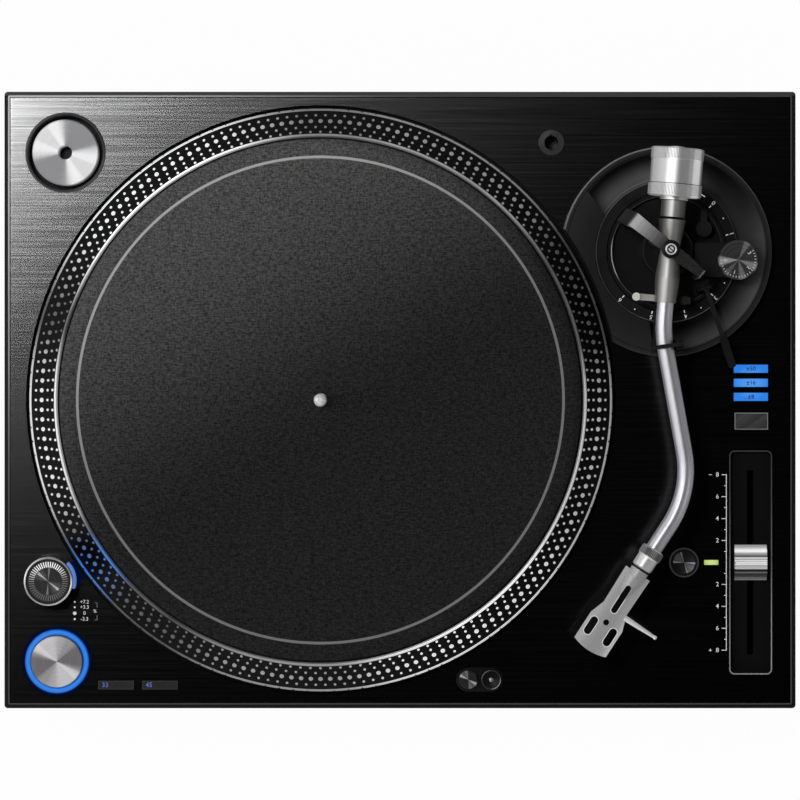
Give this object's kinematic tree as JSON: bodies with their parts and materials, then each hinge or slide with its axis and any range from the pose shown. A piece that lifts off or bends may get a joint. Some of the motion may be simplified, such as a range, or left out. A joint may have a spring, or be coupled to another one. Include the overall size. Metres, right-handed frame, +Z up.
{
  "type": "dj turntable",
  "caption": "Direct-drive DJ turntable with an S-shaped tonearm, slipmat, strobe light, pop-up stylus light and tempo fader.",
  "frame": {"origin": "middle of the deck's footprint, on the surface that the feet stand on", "axes": "+X to the player's right, towards the tonearm; +Y to the rear, where the sockets are; +Z up"},
  "size_m": [0.453, 0.353, 0.159],
  "materials": {
    "base_body": "satin",
    "deck_casting": "painted",
    "deck_panel": "brushed",
    "foot": "matte",
    "screw_steel": "satin",
    "platter_metal": "turned",
    "spindle_steel": "polished",
    "magnet": "matte",
    "bearing_bronze": "satin",
    "stator_iron": "satin",
    "board": "satin",
    "transformer_iron": "satin",
    "switch": "matte",
    "inlet_plastic": "satin",
    "jack_metal": "polished",
    "ground_metal": "polished",
    "well_plastic": "satin",
    "adapter_metal": "turned",
    "stand_metal": "polished",
    "tower_plastic": "satin",
    "lens_blue": "clear",
    "knob_metal": "turned",
    "glow_ring": "lit",
    "button_metal": "spun",
    "button_dark": "satin",
    "lamp_metal": "satin",
    "bezel_dark": "satin",
    "fader_tray": "satin",
    "track_metal": "satin",
    "fader_knob": "polished",
    "centre_lamp": "lit",
    "range_lamp": "lit",
    "felt": "felt",
    "arm_base_cast": "satin",
    "ring_dark": "satin",
    "carrier_cast": "satin",
    "bridge_cast": "blasted",
    "gimbal_metal": "satin",
    "barrel_metal": "turned",
    "tube_metal": "satin",
    "bush_metal": "satin",
    "weight_metal": "polished",
    "dial_metal": "knurled",
    "collar_metal": "knurled",
    "shell_metal": "brushed",
    "lift_metal": "polished",
    "rest_plastic": "satin",
    "lever_dark": "satin",
    "skate_metal": "spun"
  },
  "bodies": {
    "deck": {"base_shell": "base_body", "chassis": "deck_casting", "top_panel": "deck_panel", "tonearm_base": "arm_base_cast", "motor_stator": "stator_iron", "spindle_bearing": "bearing_bronze", "control_board": "board", "power_transformer": "transformer_iron", "mains_inlet": "inlet_plastic", "phono_jacks": "jack_metal", "ground_post": "ground_metal", "adapter_well": "well_plastic", "headshell_stand": "stand_metal", "strobe_housing": "tower_plastic", "strobe_lens": "lens_blue", "start_ring": "glow_ring", "lamp_bezel": "bezel_dark", "fader_panel": "fader_tray", "fader_track": "track_metal", "centre_led": "centre_lamp", "range_windows": "range_lamp", "case_screws": "screw_steel", "button_switches": "switch"},
    "front_left_foot": {"foot_front_left": "foot"},
    "front_right_foot": {"foot_front_right": "foot"},
    "rear_left_foot": {"foot_rear_left": "foot"},
    "rear_right_foot": {"foot_rear_right": "foot"},
    "platter_body": {"platter": "platter_metal", "spindle": "spindle_steel", "rotor_magnet": "magnet"},
    "mat": {"slipmat": "felt"},
    "start_key": {"start_button": "button_metal"},
    "speed_33_key": {"speed_button_33": "button_dark"},
    "speed_45_key": {"speed_button_45": "button_dark"},
    "lamp_key": {"lamp_button": "button_dark"},
    "lamp_post": {"target_light": "lamp_metal"},
    "reset_key": {"reset_button": "button_dark"},
    "range_key": {"range_button": "button_dark"},
    "power_switch": {"power_knob": "knob_metal"},
    "fader": {"tempo_knob": "fader_knob"},
    "adapter": {"single_adapter": "adapter_metal"},
    "ring": {"height_ring": "ring_dark"},
    "carrier": {"arm_carrier": "carrier_cast", "bearing_bridge": "bridge_cast", "arm_rest": "rest_plastic", "antiskate_box": "carrier_cast"},
    "lock": {"height_lock": "ring_dark"},
    "clamp": {"arm_clamp": "rest_plastic"},
    "lever": {"cue_lever": "lever_dark"},
    "lift": {"lift_bar": "lift_metal"},
    "skate_dial": {"antiskate_dial": "skate_metal"},
    "swing": {"gimbal_ring": "gimbal_metal"},
    "arm": {"arm_barrel": "barrel_metal", "arm_tube": "tube_metal"},
    "bush": {"weight_bush": "bush_metal"},
    "weight": {"counterweight": "weight_metal"},
    "force_dial": {"weight_dial": "dial_metal"},
    "collar": {"locking_collar": "collar_metal"},
    "shell": {"headshell": "shell_metal", "finger_lift": "shell_metal"}
  },
  "joints": [
    {"name": "platter_spin", "type": "hinge", "parent": "deck", "child": "platter_body", "pos_m": [-0.0453, 0, 0.1], "axis": [0, 0, -1], "continuous": true},
    {"name": "slipmat_slip", "type": "hinge", "parent": "platter_body", "child": "mat", "pos_m": [-0.0453, 0, 0.1165], "axis": [0, 0, -1], "continuous": true},
    {"name": "start_press", "type": "slide", "parent": "deck", "child": "start_key", "axis": [0, 0, -1], "range_m": [0, 0.0015], "stiffness_N_per_m": 400, "springref_m": -0.002},
    {"name": "speed_33_press", "type": "slide", "parent": "deck", "child": "speed_33_key", "axis": [0, 0, -1], "range_m": [0, 0.001], "stiffness_N_per_m": 300, "springref_m": -0.002},
    {"name": "speed_45_press", "type": "slide", "parent": "deck", "child": "speed_45_key", "axis": [0, 0, -1], "range_m": [0, 0.001], "stiffness_N_per_m": 300, "springref_m": -0.002},
    {"name": "lamp_release_press", "type": "slide", "parent": "deck", "child": "lamp_key", "axis": [0, 0, -1], "range_m": [0, 0.001], "stiffness_N_per_m": 300, "springref_m": -0.002},
    {"name": "reset_press", "type": "slide", "parent": "deck", "child": "reset_key", "axis": [0, 0, -1], "range_m": [0, 0.001], "stiffness_N_per_m": 300, "springref_m": -0.002},
    {"name": "range_press", "type": "slide", "parent": "deck", "child": "range_key", "axis": [0, 0, -1], "range_m": [0, 0.001], "stiffness_N_per_m": 300, "springref_m": -0.002},
    {"name": "target_light_rise", "type": "slide", "parent": "deck", "child": "lamp_post", "axis": [0, 0, 1], "range_m": [0, 0.028]},
    {"name": "power_turn", "type": "hinge", "parent": "deck", "child": "power_switch", "pos_m": [-0.2001, -0.1032, 0.116], "axis": [0, 0, -1], "range_deg": [0, 60]},
    {"name": "tempo_slide", "type": "slide", "parent": "deck", "child": "fader", "axis": [0, -1, 0], "range_m": [-0.0503, 0.0503]},
    {"name": "adapter_lift", "type": "slide", "parent": "deck", "child": "adapter", "axis": [0, 0, 1], "range_m": [0, 0.025]},
    {"name": "front_left_foot_height", "type": "slide", "parent": "deck", "child": "front_left_foot", "axis": [0, 0, -1], "range_m": [0, 0.006]},
    {"name": "front_right_foot_height", "type": "slide", "parent": "deck", "child": "front_right_foot", "axis": [0, 0, -1], "range_m": [0, 0.006]},
    {"name": "rear_left_foot_height", "type": "slide", "parent": "deck", "child": "rear_left_foot", "axis": [0, 0, -1], "range_m": [0, 0.006]},
    {"name": "rear_right_foot_height", "type": "slide", "parent": "deck", "child": "rear_right_foot", "axis": [0, 0, -1], "range_m": [0, 0.006]},
    {"name": "arm_height", "type": "slide", "parent": "deck", "child": "carrier", "axis": [0, 0, 1], "range_m": [0, 0.006]},
    {"name": "height_ring_turn", "type": "hinge", "parent": "deck", "child": "ring", "pos_m": [0.1524, 0.0848, 0.101], "axis": [0, 0, 1], "range_deg": [0, 180]},
    {"name": "height_lock_turn", "type": "hinge", "parent": "carrier", "child": "lock", "pos_m": [0.1734, 0.0977, 0.1088], "axis": [0, 0, 1], "range_deg": [0, 60]},
    {"name": "lift_bar_rise", "type": "slide", "parent": "carrier", "child": "lift", "axis": [0, 0, 1], "range_m": [0, 0.004]},
    {"name": "cue_lever_lift", "type": "hinge", "parent": "carrier", "child": "lever", "pos_m": [0.1737, 0.0655, 0.1145], "axis": [-0.9494, -0.314, 0], "range_deg": [0, 28]},
    {"name": "antiskate_turn", "type": "hinge", "parent": "carrier", "child": "skate_dial", "pos_m": [0.1921, 0.0796, 0.121], "axis": [0, 0, 1], "range_deg": [0, 270]},
    {"name": "arm_swing", "type": "hinge", "parent": "carrier", "child": "swing", "pos_m": [0.1524, 0.0848, 0.142], "axis": [0, 0, -1], "range_deg": [0, 44]},
    {"name": "arm_pitch", "type": "hinge", "parent": "swing", "child": "arm", "pos_m": [0.1524, 0.0848, 0.142], "axis": [-0.8387, 0.5446, 0], "range_deg": [0, 12]},
    {"name": "clamp_open", "type": "hinge", "parent": "carrier", "child": "clamp", "pos_m": [0.15769, 0.03143, 0.144], "axis": [-0.1378, 0.9905, 0], "range_deg": [0, 100]},
    {"name": "weight_travel", "type": "slide", "parent": "arm", "child": "bush", "axis": [0.0819, 0.9966, 0], "range_m": [0, 0.012]},
    {"name": "weight_turn", "type": "hinge", "parent": "bush", "child": "weight", "pos_m": [0.15609, 0.12965, 0.142], "axis": [0.0819, 0.9966, 0], "range_deg": [0, 1440]},
    {"name": "stylus_dial_turn", "type": "hinge", "parent": "weight", "child": "force_dial", "pos_m": [0.15516, 0.11839, 0.142], "axis": [0.0819, 0.9966, 0], "continuous": true},
    {"name": "collar_turn", "type": "hinge", "parent": "arm", "child": "collar", "pos_m": [0.14014, -0.0891, 0.142], "axis": [-0.5446, -0.8387, 0], "range_deg": [0, 180]},
    {"name": "headshell_pull", "type": "slide", "parent": "arm", "child": "shell", "axis": [-0.5446, -0.8387, 0], "range_m": [0, 0.015]}
  ],
  "couplings": [
    {"joint": "height_ring_turn", "follows": "arm_height", "rad_per_m": 523.6},
    {"joint": "cue_lever_lift", "follows": "lift_bar_rise", "rad_per_m": 122.17},
    {"joint": "clamp_open", "follows": "arm_pitch", "ratio": 8.333},
    {"joint": "weight_turn", "follows": "weight_travel", "rad_per_m": 2094.4}
  ]
}
